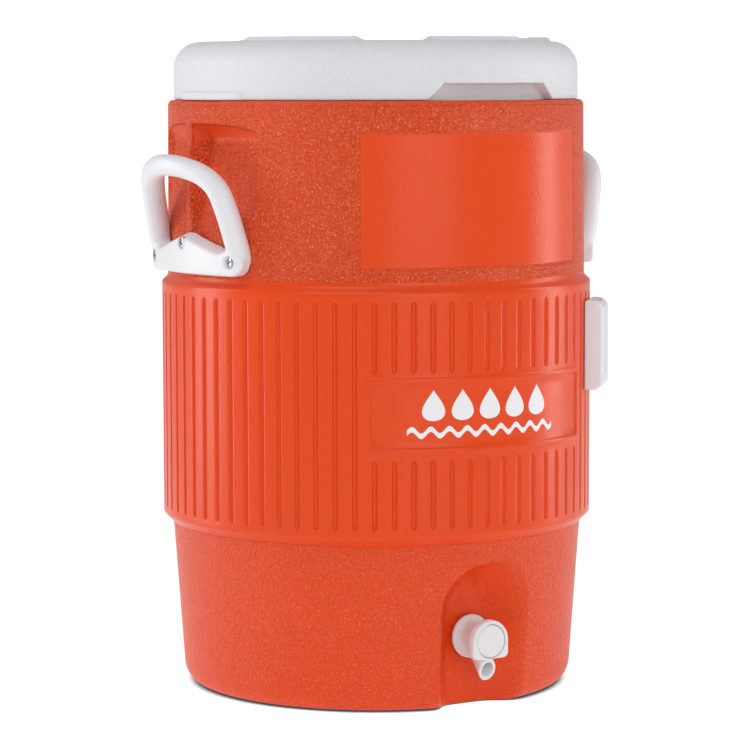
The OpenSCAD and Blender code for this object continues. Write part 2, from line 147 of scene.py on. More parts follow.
floor_mesh = bpy.data.meshes.new("floor")
reach = 30.0
floor_corners = [(-reach, -reach, 0), (reach, -reach, 0), (reach, reach, 0), (-reach, reach, 0)]
floor_mesh.from_pydata(floor_corners, [], [(0, 1, 2, 3)])
floor = bpy.data.objects.new("floor", floor_mesh)
floor.location = (0, 0, -0.0005)
bpy.context.scene.collection.objects.link(floor)
floor_paint, tree, paint = new_material("floor")
paint.inputs["Base Color"].default_value = (0.95, 0.95, 0.95, 1)
paint.inputs["Roughness"].default_value = 0.9
paint.inputs["Emission Color"].default_value = (1, 1, 1, 1)
paint.inputs["Emission Strength"].default_value = 0.3
# Painted contact shadow: camera rays see the floor as an emission whose strength falls with ambient occlusion, so the
# floor is painted dark where the base closes it in.
closed_in = add_node(tree, "AmbientOcclusion", {"Distance": 0.012})
closed_in.samples = 16
painted_contact_shadow = add_node(tree, "MapRange", {
    "Value": closed_in.outputs["AO"], "From Min": 0.1, "From Max": 0.55, "To Min": 0.05, "To Max": 1.1})
painted_contact_shadow.interpolation_type = "SMOOTHSTEP"
floor_glow_with_painted_shadow = add_node(tree, "Emission", {"Strength": painted_contact_shadow.outputs["Result"]})
seen = add_node(tree, "LightPath").outputs["Is Camera Ray"]
either = add_node(tree, "MixShader", {"Fac": seen, 1: paint.outputs[0], 2: floor_glow_with_painted_shadow.outputs[0]})
tree.links.new(either.outputs[0], tree.nodes["Material Output"].inputs["Surface"])
floor_mesh.materials.append(floor_paint)

# ---------------------------------------------------------------- outer shell
# The body is one blow-moulded shell of orange polyethylene. It is made here in three rings that
# meet at the belt's edges: the upper body, the belt and the lower body with the base. Each ring is
# a closed wall whose outside is a function of angle and height.

shell_wall = 3.0
body_h = 447.7
top_r = 159.2
shoulder_r = 160.2
belt_r = 164.9
waist_r = 157.5
base_r = 149.8
belt_top = 310.0
shoulder_z = belt_top + 7
per_radian = 57.3


def smooth_step(low, high, x):
    """0 below low, 1 above high, and a cubic ease between."""
    t = np.clip((x - low) / (high - low), 0, 1)
    return t * t * (3 - 2 * t)


def smooth_min(a, b, r):
    """The lower of two surfaces, with the crease between them rounded over a width r."""
    h = np.clip(0.5 + 0.5 * (b - a) / r, 0, 1)
    return b + (a - b) * h - r * h * (1 - h)


def steps(*spans):
    """Values that run through spans of (start, end, spacing), each end left to the next span's start."""
    runs = [np.arange(s, e - spacing * 0.3, spacing) for s, e, spacing in spans]
    return np.concatenate(runs + [[spans[-1][1]]])


def turned(degrees, radius, height):
    """Points at an angle from the front (-Y), positive towards +X, in metres."""
    a = np.radians(degrees)
    flat = np.broadcast_arrays(radius * np.sin(a), -radius * np.cos(a), height)
    return np.stack(flat, axis=-1) * MM


both_ends = ("first", "last")


def surface(name, points, loop_rows=False, loop_columns=True, caps=(), attributes=None, sharp=38):
    """A mesh of quads over a grid of points[row, column]. Rows or columns can close on themselves, and a
    cap closes the first or last row with a fan round its middle. Faces are turned outwards by the sign
    of the enclosed volume."""
    rows, columns = points.shape[:2]
    index = np.arange(rows * columns).reshape(rows, columns)
    down = index if not loop_rows else np.vstack([index, index[:1]])
    across = down if not loop_columns else np.hstack([down, down[:, :1]])
    quads = np.stack([across[:-1, :-1], across[:-1, 1:], across[1:, 1:], across[1:, :-1]], -1).reshape(-1, 4)
    vertices = points.reshape(-1, 3)
    fans = []
    for cap in caps:
        ring = across[0, :][::-1] if cap == "first" else across[-1, :]
        middle = len(vertices)
        vertices = np.vstack([vertices, vertices[ring[:-1]].mean(0)])
        fans.append(np.stack([ring[:-1], ring[1:], np.full(len(ring) - 1, middle)], -1))
    fan = np.vstack(fans) if fans else np.zeros((0, 3), int)
    p = vertices - vertices.mean(0)
    volume = np.einsum("ij,ij->i", p[quads[:, 0]], np.cross(p[quads[:, 1]], p[quads[:, 2]])).sum()
    volume += np.einsum("ij,ij->i", p[quads[:, 0]], np.cross(p[quads[:, 2]], p[quads[:, 3]])).sum()
    volume += np.einsum("ij,ij->i", p[fan[:, 0]], np.cross(p[fan[:, 1]], p[fan[:, 2]])).sum()
    if volume < 0:
        quads, fan = quads[:, ::-1], fan[:, ::-1]
    mesh = bpy.data.meshes.new(name)
    mesh.vertices.add(len(vertices))
    mesh.vertices.foreach_set("co", vertices.astype(np.float32).ravel())
    mesh.loops.add(quads.size + fan.size)
    mesh.loops.foreach_set("vertex_index", np.concatenate([quads.ravel(), fan.ravel()]).astype(np.int32))
    mesh.polygons.add(len(quads) + len(fan))
    starts = np.concatenate([np.arange(len(quads)) * 4, quads.size + np.arange(len(fan)) * 3])
    mesh.polygons.foreach_set("loop_start", starts.astype(np.int32))
    mesh.update(calc_edges=True)
    mesh.polygons.foreach_set("use_smooth", np.ones(len(mesh.polygons), bool))
    mesh.set_sharp_from_angle(angle=math.radians(sharp))
    for key, values in (attributes or {}).items():
        flat = np.broadcast_to(values, (rows, columns)).ravel().astype(np.float32)
        flat = np.concatenate([flat, np.full(len(vertices) - len(flat), flat[-1], np.float32)])
        mesh.attributes.new(key, "FLOAT", "POINT").data.foreach_set("value", flat)
    piece = bpy.data.objects.new(name, mesh)
    bpy.context.scene.collection.objects.link(piece)
    return piece


# The upper body: straight with a little draft, a rounded rim, a plain panel at the front and a
# flattened recess with a rib behind each handle.
recess_top = 431.0
recess_floor = 145.0
label_half, label_low, label_high = 36.0, 326.5, 425.0
lift_half = 11.0
rib_lean, rib_crest_r, rib_front_fall, rib_back_fall = -3.2, 159.6, 2.6, 1.0
recess_end_low, recess_end_high, recess_spread = 24.5, 27.2, 0.62


def recess_x(z):
    """Distance of the recess's flat floor from the axis: in from the overhanging top edge, then slowly out."""
    return np.interp(z, [336, 343, 352, 366, 385, 408, 417, 421, 425, 428.5, 430.6, 431.4],
                     [163, 159.5, 155.5, 151.3, 148.4, 146, recess_floor + 0.4, 146.2, 148.8, 152.6, 157, 163])


def upper_radius(a, z):
    """Radius of the upper body's outside, and how strongly it is grained there."""
    wall = np.interp(z, [shoulder_z, 401, body_h], [shoulder_r, 159.5, top_r])
    edge = smooth_step(label_half + 0.6, label_half - 0.6, np.abs(a))
    label = edge * smooth_step(label_low - 1.6, label_low + 1.6, z)
    label = label * smooth_step(label_high + 1.6, label_high - 1.6, z)
    side = np.abs(np.abs(a) - 90)
    flat = recess_x(z) * (1 + recess_spread * (1 / np.cos(np.radians(np.minimum(side, 60))) - 1))
    flat = flat + 22 * smooth_step(recess_end_low, recess_end_high, side)
    flare = 9 * smooth_step(398, 424, z) + 11 * smooth_step(372, 346, z)
    front_off = np.radians(np.abs(a) - 90 + rib_lean) * -157
    fall = np.where(front_off > 0, rib_front_fall, rib_back_fall)
    fall = fall * np.maximum(np.abs(front_off) - 1.0 - 0.3 * flare, 0) ** 1.2
    rib = rib_crest_r - fall / (1 + 0.14 * flare)
    hollow = -smooth_min(-flat, -rib, 2.0)
    scallop = 2.4 * smooth_step(lift_half + 4, lift_half - 2, side) * smooth_step(441.5, 446, z)
    radius = smooth_min(wall - 0.16 * label, hollow, 1.7) - scallop
    under = smooth_step(recess_top + 1, recess_top - 2, z) * smooth_step(414, 421, z)
    grain = 1 - 0.93 * label - 0.75 * under * smooth_step(0.5, 3, wall - radius)
    return radius, grain


def rounded_corner(r, z, size, count, start, end):
    """Points of an arc about (r, z), from one angle to another, as (radius, height) columns."""
    t = np.radians(np.linspace(start, end, count))
    return r + size * np.cos(t), z + size * np.sin(t)


upper_a = np.unique(np.round(np.concatenate([
    steps((-180, 180, 1.5)),
    *[steps((c - 31, c + 31, 0.6)) for c in (-90, 90)],
    *[steps((c - 9, c + 9, 0.3)) for c in (-90, 90)],
    *[steps((c - 0.9, c + 0.9, 0.15)) for c in (-label_half, label_half)],
]), 3))[:-1]
upper_z = steps((shoulder_z, 325, 2), (325, 328, 0.5), (328, 414, 2), (414, 432.5, 0.75), (432.5, 443.7, 2))
rim_r, rim_z = rounded_corner(top_r - 4, body_h - 4, 4, 7, 0, 90)
outside, outside_grain = upper_radius(upper_a[None, :], upper_z[:, None])
at_lip, _ = upper_radius(upper_a[None, :], np.full((1, 1), body_h))
rim_points = turned(upper_a[None, :], rim_r[1:, None] - (top_r - at_lip), rim_z[1:, None])
lip_points = turned(upper_a[None, :], np.array([145, 133, 133, 154.5])[:, None],
                    np.array([body_h, body_h, body_h - 4, body_h - 4])[:, None])
inner_z = np.array([440, 434, 431, 425, 419, 400, 380, 360, 345, shoulder_z])
inside, _ = upper_radius(upper_a[None, :], inner_z[:, None])
upper_points = np.vstack([
    turned(upper_a[None, :], outside, upper_z[:, None]), rim_points, lip_points,
    turned(upper_a[None, :], inside - shell_wall, inner_z[:, None])])
upper_grain = np.vstack([outside_grain, np.full((len(upper_points) - len(outside), len(upper_a)), 0.6)])
upper_body = surface("shell_upper_body", upper_points, loop_rows=True, attributes={"grain": upper_grain})

# The belt: 72 round-bottomed flutes, broken off round a panel with a raised rim.
flute_pitch, flute_half_w, flute_depth = 5.0, 1.85, 1.7
flute_bottom, flute_top = 137.5, 303.0
panel_half, panel_low, panel_high = 35.0, 192.8, 248.2
panel_corner = 3.0


def belt_offset(a, z):
    """How far the belt's surface stands out from its plain radius: flutes in, the panel's rim out."""
    across = (np.mod(a, flute_pitch) - flute_pitch / 2) / per_radian * belt_r
    front = np.abs(a) < panel_half
    lower_end = np.where(front, panel_low - 4.7, flute_top)
    past = np.maximum(np.maximum(flute_bottom + flute_half_w - z, z - lower_end + flute_half_w), 0)
    upper = np.maximum(np.maximum(panel_high + 3.5 + flute_half_w - z, z - flute_top + flute_half_w), 0)
    past = np.where(front, np.minimum(past, upper), past)
    off = np.sqrt(across ** 2 + past ** 2) / flute_half_w
    flute = -flute_depth * np.sqrt(np.clip(1 - off ** 2, 0, 1)) ** 1.15
    u = np.abs(a) / per_radian * belt_r
    w, h = panel_half / per_radian * belt_r, (panel_high - panel_low) / 2
    dz = np.abs(z - (panel_high + panel_low) / 2)
    qx, qz = u - w + panel_corner, dz - h + panel_corner
    edge = np.hypot(np.maximum(qx, 0), np.maximum(qz, 0)) + np.minimum(np.maximum(qx, qz), 0) - panel_corner
    rim = smooth_step(0.5, -0.7, edge) * (0.75 - 1.35 * smooth_step(-3.6, -4.8, edge))
    return flute + rim


land = np.array([-1.95, -1.84, -1.6, -1.25, -0.75, -0.25, 0.25, 0.75, 1.25, 1.6, 1.84, 1.95, 3.4, 5.8, 8.2, 10.6])
belt_a = (np.arange(-36, 36)[:, None] * flute_pitch + flute_pitch / 2 + land[None, :] / belt_r * per_radian).ravel()
panel_edges = np.array([w / belt_r * per_radian for w in (0.6, 0.2, -0.2, -0.6, -1.0, -3.4, -3.8, -4.2, -4.6, -5.0)])
belt_a = np.unique(np.round(np.concatenate([belt_a, panel_half + panel_edges, -panel_half - panel_edges]), 3))
ends = np.array([-0.1, 0.05, 0.25, 0.6, 1.1, 1.9])
belt_z = np.concatenate([
    [133.5], flute_bottom + ends, steps((145, 181, 9)), panel_low - 4.7 - ends[::-1],
    panel_low + np.array([-0.6, -0.2, 0.3, 0.8, 2.2, 3.4, 3.9, 4.4, 5.0]), steps((203, 238, 7)),
    panel_high - np.array([-0.6, -0.2, 0.3, 0.8, 2.2, 3.4, 3.9, 4.4, 5.0])[::-1],
    panel_high + 3.5 + ends, steps((259, 295, 9)), flute_top - ends[::-1], [306]])
belt_out = belt_r + belt_offset(belt_a[None, :], belt_z[:, None])
low_r, low_z = [157.5, 158.4, 163.6, 164.5, belt_r], [124.5, 125.4, 130.6, 131.6, 132.6]
high_r, high_z = [belt_r, 164.7, 164.0, 161.4, 160.5, shoulder_r], [308.8, 309.8, 310.7, 312.9, 314.2, shoulder_z]


def ring_rows(angles, radii, heights):
    """Plain rings, one for each radius and height."""
    return turned(angles[None, :], np.array(radii)[:, None], np.array(heights)[:, None])


belt_points = np.vstack([
    ring_rows(belt_a, low_r, low_z), turned(belt_a[None, :], belt_out, belt_z[:, None]),
    ring_rows(belt_a, high_r, high_z),
    ring_rows(belt_a, [shoulder_r - shell_wall, 161.6, 161.6, waist_r - shell_wall], [shoulder_z, 307, 134, 124.5])])
belt = surface("shell_belt", belt_points, loop_rows=True, attributes={"grain": 0.06}, sharp=60)

# The lower body: tapered, with a rounded foot, a shallow hollow under it and, at the front, an arched
# recess for the spigot that is open at the bottom.
foot_r, foot_round, base_hollow, fill_hole_r = 137.5, 16.0, 4.0, 12.1
arch_z, arch_floor, arch_rim, alcove_d = 68.7, 17.0, 38.5, 128.0
steep_rise, steep_power, eased_from, eased_curve = 25.0, 2.3, 8.0, 0.0245


def alcove_distance(a, z, radius):
    """Distance of the recess's surface from the axis plane at a point of the body: a flat floor inside the
    arch that curves up to its rim, steeply on the left and broadly on the right."""
    u = radius * np.sin(np.radians(a))
    rho = np.where(z > arch_z, np.hypot(u, z - arch_z), np.abs(u))
    steep = steep_rise * np.clip((rho - arch_floor) / (arch_rim - arch_floor), 0, 4) ** steep_power
    eased = eased_curve * np.maximum(rho - eased_from, 0) ** 2
    return alcove_d + steep + (eased - steep) * smooth_step(-3, 9, u)


def lower_radius(a, z, radius):
    """Radius of the lower body's outside, cut back to the spigot's recess, and its grain."""
    facing = np.cos(np.radians(a))
    cut = alcove_distance(a, z, np.minimum(radius, 150)) / np.maximum(facing, 0.2)
    cut = np.where(np.abs(a) < 40, cut, 400)
    found = smooth_min(radius, cut, 4.5 + 4.5 * smooth_step(0, 8, a))
    return found, 0.5 - 0.3 * smooth_step(2, 8, radius - found)


lower_a = np.unique(np.round(np.concatenate([steps((-180, 180, 1.8)), steps((-22, 22, 0.4))]), 3))[:-1]
foot_t = np.radians(np.linspace(-90, 0, 11))
foot_rr = foot_r + (base_r - foot_r) * np.cos(foot_t)
foot_zz = foot_round + foot_round * np.sin(foot_t)
side_z = steps((foot_round + 2, 108, 2), (108, 124.5, 4))
side_r = base_r + (waist_r - base_r) * (side_z - foot_round) / (124.5 - foot_round)
profile_r = np.concatenate([foot_rr, side_r])
profile_z = np.concatenate([foot_zz, side_z])
lower_out, lower_grain = lower_radius(lower_a[None, :], profile_z[:, None], profile_r[:, None])
foot_edge = lower_out[0]
under = np.stack([turned(lower_a, r, z) for r, z in (
    (fill_hole_r, 7.0), (fill_hole_r, base_hollow), (60, base_hollow), (117, base_hollow), (119.5, 3.4), (121.5, 0.6))])
sole = np.stack([turned(lower_a, 122.5 + (foot_edge - 122.5) * t, 0.0) for t in (0, 0.35, 0.7, 0.93)])
inner_side = np.array([124.5, 112, 100, 84, 68, 50, 30, 16, 7])
inner_side_r = np.interp(inner_side, [foot_round, 124.5], [base_r, waist_r])
lower_in, _ = lower_radius(lower_a[None, :], inner_side[:, None], inner_side_r[:, None])
lower_points = np.vstack([
    under, sole, turned(lower_a[None, :], lower_out, profile_z[:, None]),
    turned(lower_a[None, :], lower_in - shell_wall, inner_side[:, None])])
grain_rows = np.full((len(lower_points), len(lower_a)), 0.3)
grain_rows[len(under) + len(sole):len(under) + len(sole) + len(lower_out)] = lower_grain
lower_body = surface("shell_lower_body", lower_points, loop_rows=True, attributes={"grain": grain_rows})


def noise(tree, scale, detail=3.0, rough=0.5, vector=None):
    """A noise texture on a vector."""
    inputs = {"Scale": scale, "Detail": detail, "Roughness": rough}
    if vector is not None:
        inputs["Vector"] = vector
    return add_node(tree, "TexNoise", inputs)


def maths(tree, operation, a, b=None, clamp=False):
    """A maths node; a and b are sockets or numbers."""
    made = add_node(tree, "Math", {0: a} if b is None else {0: a, 1: b}, operation)
    made.use_clamp = clamp
    return made.outputs[0]


def new_group(name, inputs, outputs):
    """An empty shader node group with float inputs (name: default) and outputs (name: socket type)."""
    group = bpy.data.node_groups.new(name, "ShaderNodeTree")
    for key, value in inputs.items():
        made = group.interface.new_socket(key, in_out="INPUT", socket_type="NodeSocketFloat")
        made.default_value = value
    for key, kind in outputs.items():
        group.interface.new_socket(key, in_out="OUTPUT", socket_type=kind)
    return group, group.nodes.new("NodeGroupInput"), group.nodes.new("NodeGroupOutput")


# Leather-like grain etched into a mould: pebbles of two sizes on a soft swell, as a height, a mask that
# is 1 on the pebbles' tops, and a mask of the few tops where a highlight is painted into the colour.
grain_group, grain_in, grain_out = new_group(
    "moulded_grain", {"Pebbles per metre": 520.0}, dict.fromkeys(("Height", "Tops", "Painted glints"), "NodeSocketFloat"))
place = add_node(grain_group, "TexCoord").outputs["Object"]
bend = noise(grain_group, 260, 2, vector=place)
bent = add_node(
    grain_group, "VectorMath", {0: bend.outputs["Color"], 1: (0.0028, 0.0028, 0.0028), 2: place}, "MULTIPLY_ADD")
pebbles = grain_group.nodes.new("ShaderNodeTexVoronoi")
pebbles.feature = "SMOOTH_F1"
pebbles.inputs["Smoothness"].default_value = 0.35
grain_group.links.new(bent.outputs[0], pebbles.inputs["Vector"])
grain_group.links.new(grain_in.outputs["Pebbles per metre"], pebbles.inputs["Scale"])
fine = noise(grain_group, 1500, 2, vector=place)
swell = noise(grain_group, 90, 2, vector=place)
dip = maths(grain_group, "POWER", pebbles.outputs["Distance"], 1.6)
round_top = maths(grain_group, "SUBTRACT", 1.0, dip, clamp=True)
height = maths(grain_group, "ADD", round_top, maths(grain_group, "MULTIPLY", fine.outputs["Fac"], 0.35))
height = maths(grain_group, "ADD", height, maths(grain_group, "MULTIPLY", swell.outputs["Fac"], 0.5))
grain_group.links.new(height, grain_out.inputs["Height"])
grain_group.links.new(round_top, grain_out.inputs["Tops"])
# Painted highlight: a sparse noise picks the pebble tops whose colour is made paler, standing in for light caught
# there.
sprinkle = noise(grain_group, 880, 2, 0.6, vector=bent.outputs[0])
over = maths(grain_group, "SUBTRACT", sprinkle.outputs["Fac"], 0.55)
painted_glint_mask = maths(grain_group, "MULTIPLY", over, 8.0, clamp=True)
grain_group.links.new(maths(grain_group, "MULTIPLY", painted_glint_mask, round_top), grain_out.inputs["Painted glints"])

# Faint unevenness of moulded plastic, as a colour factor round 1 and a roughness shift round 0.
uneven_group, uneven_in, uneven_out = new_group(
    "moulded_unevenness", {"Amount": 0.05}, {"Shade": "NodeSocketFloat", "Roughness shift": "NodeSocketFloat"})
where = add_node(uneven_group, "TexCoord").outputs["Object"]
broad = noise(uneven_group, 9, 3, vector=where)
specks = noise(uneven_group, 160, 4, vector=where)
mixed = maths(uneven_group, "ADD", maths(uneven_group, "MULTIPLY", broad.outputs["Fac"], 0.7),
              maths(uneven_group, "MULTIPLY", specks.outputs["Fac"], 0.3))
centred = maths(uneven_group, "SUBTRACT", mixed, 0.5)
scaled = maths(uneven_group, "MULTIPLY", centred, uneven_in.outputs["Amount"])
doubled = maths(uneven_group, "MULTIPLY", scaled, 2.0)
uneven_group.links.new(maths(uneven_group, "ADD", doubled, 1.0), uneven_out.inputs["Shade"])
uneven_group.links.new(maths(uneven_group, "MULTIPLY", scaled, 1.5), uneven_out.inputs["Roughness shift"])


def place_group(tree, group, **values):
    """A group node in a material, with some of its inputs set."""
    node = tree.nodes.new("ShaderNodeGroup")
    node.node_tree = group
    for key, value in values.items():
        node.inputs[key.replace("_", " ")].default_value = value
    return node


def plastic(name, colour, roughness, uneven=0.05, grain=None, pebbles=520.0, depth=0.0002, follow=None, valley_shade=0.12,
            painted_glint=None):
    """A moulded plastic: its colour is darkened as painted shade in the grain's hollows and made paler as a painted
    highlight on a few pebble tops, and an attribute named by follow scales the grain."""
    material, tree, bsdf = new_material(name)
    evenness = place_group(tree, uneven_group, Amount=uneven)
    shade = evenness.outputs["Shade"]
    if grain:
        etched = place_group(tree, grain_group)
        etched.inputs["Pebbles per metre"].default_value = pebbles
        strength = grain
        if follow:
            reader = add_node(tree, "Attribute")
            reader.attribute_name = follow
            strength = maths(tree, "MULTIPLY", reader.outputs["Fac"], grain)
        # Painted shade: the colour is darkened in the grain's hollows, where less light would reach.
        painted_valley_shade = maths(tree, "MULTIPLY", maths(tree, "SUBTRACT", 1.0, etched.outputs["Tops"]), strength)
        shade = maths(tree, "MULTIPLY", shade, maths(tree, "SUBTRACT", 1.0, maths(tree, "MULTIPLY", painted_valley_shade, valley_shade)))
        bump = add_node(tree, "Bump", {
            "Distance": depth, "Height": maths(tree, "MULTIPLY", etched.outputs["Height"], strength)})
        tree.links.new(bump.outputs["Normal"], bsdf.inputs["Normal"])
    tint = add_node(tree, "VectorMath", {0: colour, "Scale": shade}, "SCALE")
    # Painted highlight: a pale colour is added to the base colour on the chosen pebble tops.
    if painted_glint:
        painted_highlight = maths(tree, "MULTIPLY", etched.outputs["Painted glints"], strength)
        tint = add_node(tree, "VectorMath", {0: painted_highlight, 1: painted_glint, 2: tint.outputs[0]}, "MULTIPLY_ADD")
    tree.links.new(tint.outputs[0], bsdf.inputs["Base Color"])
    rough = maths(tree, "ADD", evenness.outputs["Roughness shift"], roughness)
    if follow:
        rough = maths(tree, "ADD", rough, maths(tree, "MULTIPLY", strength, 0.14))
    tree.links.new(rough, bsdf.inputs["Roughness"])
    return material


# Orange plastic whose colour carries a painted highlight on a few pebble tops and painted shade in the grain's hollows.
orange = plastic("orange_polyethylene", (0.80, 0.062, 0.002), 0.25, grain=1.0, depth=0.0016, follow="grain",
                 valley_shade=0.08, painted_glint=(0.14, 0.30, 0.20))
orange.node_tree.nodes["Principled BSDF"].inputs["Specular IOR Level"].default_value = 0.32
for piece in (upper_body, belt, lower_body):
    piece.data.materials.append(orange)
    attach(piece, "cooler")
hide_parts("outer_shell")

# ---------------------------------------------------------------- belt print
# A plain device in white ink on the belt's panel, with no lettering: a row of five drops over a
# rippled line. The ink lies on the panel's curve and stands a little proud of it.
ink_low, ink_high = belt_r - 0.62, belt_r - 0.45


def inked(name, u, z, centre, middles=(0.66, 0.33)):
    """A flat outline (u along the belt, z up) made a thin curved solid: rings at the ink's back and face,
    then the face again drawn in towards the centre, so that it follows the belt's curve."""
    shrink = np.array([0.33, 0.66, 1.0, 1.0, *middles])[:, None]
    radius = np.array([ink_low] * 3 + [ink_high] * 3)[:, None]
    angle = np.degrees((centre[0] + (u - centre[0]) * shrink) / belt_r)
    return surface(name, turned(angle, radius, centre[1] + (z - centre[1]) * shrink), caps=both_ends, sharp=30)


print_pieces = []
drop_turn = np.linspace(0, 2 * np.pi, 48, endpoint=False)
drop_u = 12.2 * np.sin(drop_turn) * np.abs(np.sin(drop_turn / 2)) ** 1.4
drop_z = 11.3 * np.cos(drop_turn)
drop_middle_z = 228.1
for number, middle_a in enumerate((-17.4, -9.55, -1.7, 6.15, 14.0)):
    middle_u = np.radians(middle_a) * belt_r
    print_pieces.append(inked(f"print_drop_{number + 1}", middle_u + drop_u, drop_middle_z + drop_z,
                              (middle_u, drop_middle_z - 3)))
ripple_u = np.radians(np.linspace(-24.3, 20.1, 221)) * belt_r
ripple_z = 208.5 + 2.5 * np.sin((ripple_u - ripple_u[0]) / 14.2 * 2 * np.pi)
ripple_section = np.array([(-2.0, ink_low), (2.0, ink_low), (2.0, ink_high), (-2.0, ink_high)])
ripple = surface(
    "print_ripple",
    turned(np.degrees(ripple_u / belt_r)[:, None], ripple_section[None, :, 1],
           ripple_z[:, None] + ripple_section[None, :, 0]),
    caps=both_ends, sharp=30)
print_pieces.append(ripple)
ink = plastic("white_ink", (0.86, 0.86, 0.86), 0.5, uneven=0.03)
for piece in print_pieces:
    piece.data.materials.append(ink)
    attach(piece, "cooler")

# ---------------------------------------------------------------- handles
# Each handle is one white injection moulding: a curved plate with a peaked upper edge, and a bent bar
# that rises from the plate's ends. Three screws in sunk seats hold it to the body.
plate_in, plate_out = 160.3, 171.0
plate_half = 70.0
plate_bottom = 320.0


def soft_loop(corners, radii, count=5):
    """A closed loop round corners (..., n, 2), each corner replaced by a parabola that leaves and
    rejoins its two sides at the corner's radius; the result is (..., n * count, 2)."""
    radii = np.broadcast_to(radii, corners.shape[:-1])[..., None]

    def towards(neighbours):
        side = neighbours - corners
        return corners + side * radii / np.maximum(np.linalg.norm(side, axis=-1, keepdims=True), 1e-6)

    start, end = towards(np.roll(corners, 1, -2)), towards(np.roll(corners, -1, -2))
    t = np.linspace(0, 1, count)[:, None]
    bent = ((1 - t) ** 2 * start[..., None, :] + 2 * t * (1 - t) * corners[..., None, :] + t ** 2 * end[..., None, :])
    return bent.reshape(*corners.shape[:-2], -1, 2)


def smooth_path(points, between):
    """A Catmull-Rom curve through points, with so many steps between each pair."""
    p = np.vstack([2 * points[0] - points[1], points, 2 * points[-1] - points[-2]])
    a, b, c, d = p[:-3, None], p[1:-2, None], p[2:-1, None], p[3:, None]
    t = (np.arange(between) / between)[None, :, None]
    curve = 0.5 * (2 * b + (c - a) * t + (2 * a - 5 * b + 4 * c - d) * t ** 2 + (3 * b - a - 3 * c + d) * t ** 3)
    return np.vstack([curve.reshape(-1, points.shape[1]), points[-1:]])


def tube(name, path, half_across, half_other, across, sides=28):
    """An oval bar along a path (mm): rings at right angles to the path, whose first half-width lies
    nearest the direction across."""
    ahead = np.gradient(path, axis=0)
    ahead /= np.linalg.norm(ahead, axis=1, keepdims=True)
    first = np.asarray(across, float) - ahead * (ahead @ np.asarray(across, float))[:, None]
    first /= np.linalg.norm(first, axis=1, keepdims=True)
    second = np.cross(ahead, first)
    turn = np.linspace(0, 2 * np.pi, sides, endpoint=False)
    half_across = np.broadcast_to(half_across, len(path))[:, None, None]
    half_other = np.broadcast_to(half_other, len(path))[:, None, None]
    ring = path[:, None] + half_across * np.cos(turn)[None, :, None] * first[:, None] \
        + half_other * np.sin(turn)[None, :, None] * second[:, None]
    return surface(name, ring * MM, caps=both_ends)


def fused(name, solids, lattice, relax, cutters=(), again=True):
    """Closed meshes made one: joined on a lattice of so many millimetres, cut, joined again so that the
    cuts' edges round over, and relaxed so often."""
    joined = bmesh.new()
    for solid in solids:
        joined.from_mesh(solid.data)
    mesh = bpy.data.meshes.new(name)
    joined.to_mesh(mesh)
    joined.free()
    piece = bpy.data.objects.new(name, mesh)
    bpy.context.scene.collection.objects.link(piece)

    def relattice():
        lattice_step = piece.modifiers.new("lattice", "REMESH")
        lattice_step.mode = "VOXEL"
        lattice_step.voxel_size = lattice * MM
        lattice_step.use_smooth_shade = True

    relattice()
    for cutter in cutters:
        cut = piece.modifiers.new("cut", "BOOLEAN")
        cut.operation = "DIFFERENCE"
        cut.object = cutter
    if cutters and again:
        relattice()
    if relax:
        ease = piece.modifiers.new("ease", "SMOOTH")
        ease.iterations = relax
        ease.factor = 0.5
    shaped = bpy.data.meshes.new_from_object(piece.evaluated_get(bpy.context.evaluated_depsgraph_get()))
    piece.modifiers.clear()
    piece.data = shaped
    shaped.name = name
    bpy.data.meshes.remove(mesh)
    for used in (*solids, *cutters):
        bpy.data.objects.remove(used)
    shaped.polygons.foreach_set("use_smooth", np.ones(len(shaped.polygons), bool))
    return piece


def peg(name, start, end, radius, sides=40, end_radius=None):
    """A closed round bar between two points (mm), tapered if it has an end radius."""
    line = np.array([start, end], float)
    across = (0, 0, 1) if abs(line[1, 2] - line[0, 2]) < 0.9 * np.linalg.norm(line[1] - line[0]) else (1, 0, 0)
    radii = np.array([radius, radius if end_radius is None else end_radius])
    return tube(name, line, radii, radii, across, sides)


screw_places = ((0.0, 342.6), (-19.4, 330.3), (19.4, 330.3))
plate_sag, plate_sag_at, edge_slope, edge_from = 8.6, 0.3456, 40.0, 0.37
seat_sunk, seat_r, bar_half_w, bar_half_t = 2.6, 5.0, 8.9, 7.9


def plate_face(a):
    """How far out the plate's face lies at an angle a from its middle: it is flatter than the body."""
    return plate_out - plate_sag * (a / plate_sag_at) ** 2 - edge_slope * np.maximum(np.abs(a) - edge_from, 0)


def screw_seat(turn, z):
    """Middle of a screw seat's floor on the right handle. All the screws point straight out sideways."""
    a = np.radians(turn)
    return np.array([plate_face(a) - seat_sunk, plate_face(a) * np.tan(a), z])


